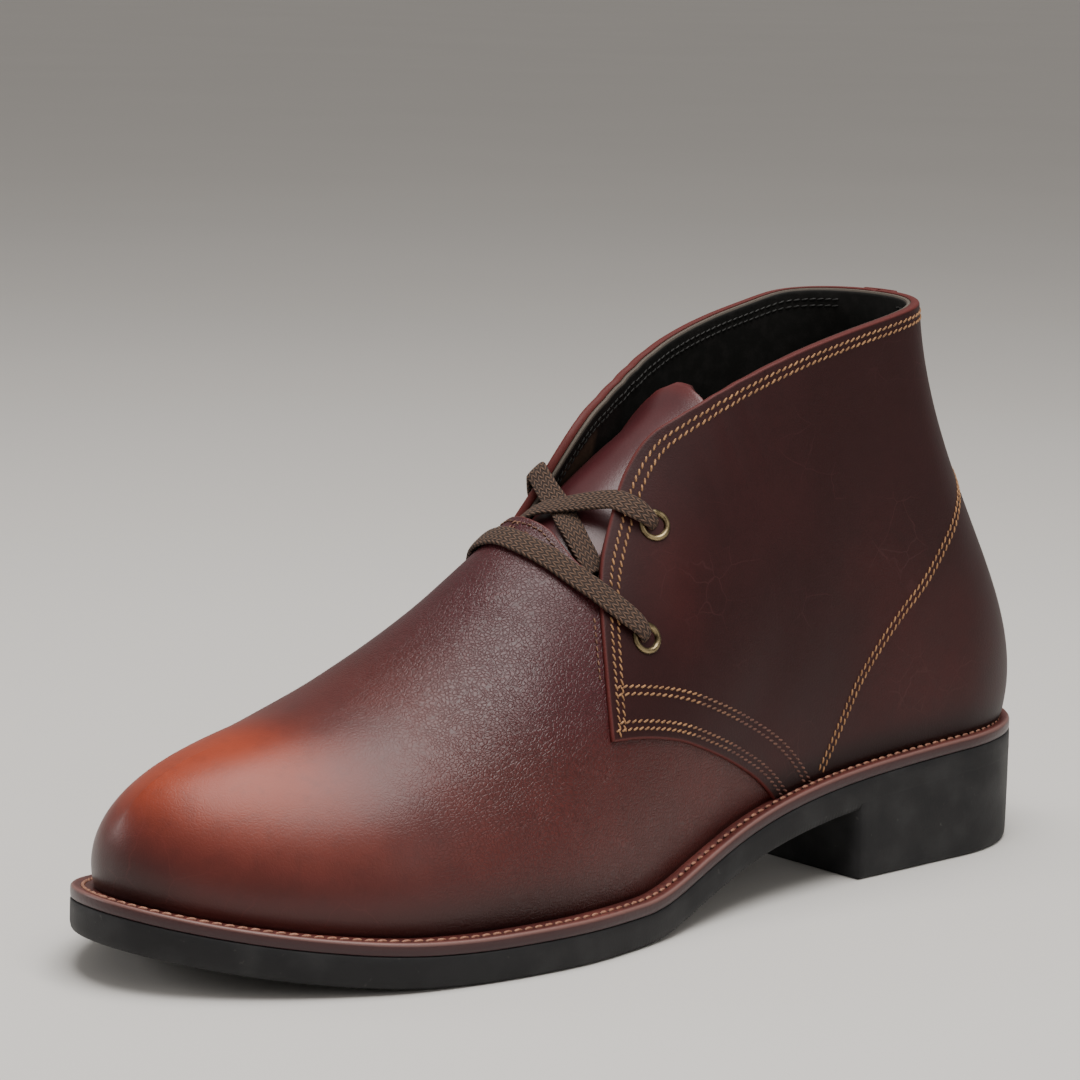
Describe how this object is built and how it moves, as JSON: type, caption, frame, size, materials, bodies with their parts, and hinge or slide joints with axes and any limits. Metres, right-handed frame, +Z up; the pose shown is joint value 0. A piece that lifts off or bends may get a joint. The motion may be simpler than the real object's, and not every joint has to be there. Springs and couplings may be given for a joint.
{
  "type": "chukka boot",
  "caption": "Left ankle boot of smooth leather with a two-row laced front, an all-round welt, a curved rubber sole and a block heel.",
  "frame": {"origin": "on the floor, under the middle of the sole's box", "axes": "+X from the toe to the heel, +Y towards the inner (medial) side, +Z up"},
  "size_m": [0.305, 0.1079, 0.1569],
  "materials": {
    "sole_rubber": "matt black, fine serrated edge",
    "welt_leather": "burnished burgundy edge, stitched",
    "lining_leather": "matt dark lining",
    "upper_leather": "waxed pull-up leather, satin, burnished toe",
    "lace_braid": "flat woven braid, waxed",
    "eyelet_brass": "antiqued brass"
  },
  "bodies": {
    "root": {"outsole": "sole_rubber", "welt": "welt_leather", "insole": "lining_leather", "upper": "upper_leather", "tongue": "upper_leather", "lace_bar": "lace_braid", "lace_cross": "lace_braid", "eyelet_lateral_lower": "eyelet_brass", "eyelet_lateral_upper": "eyelet_brass", "eyelet_medial_lower": "eyelet_brass", "eyelet_medial_upper": "eyelet_brass"}
  },
  "joints": []
}
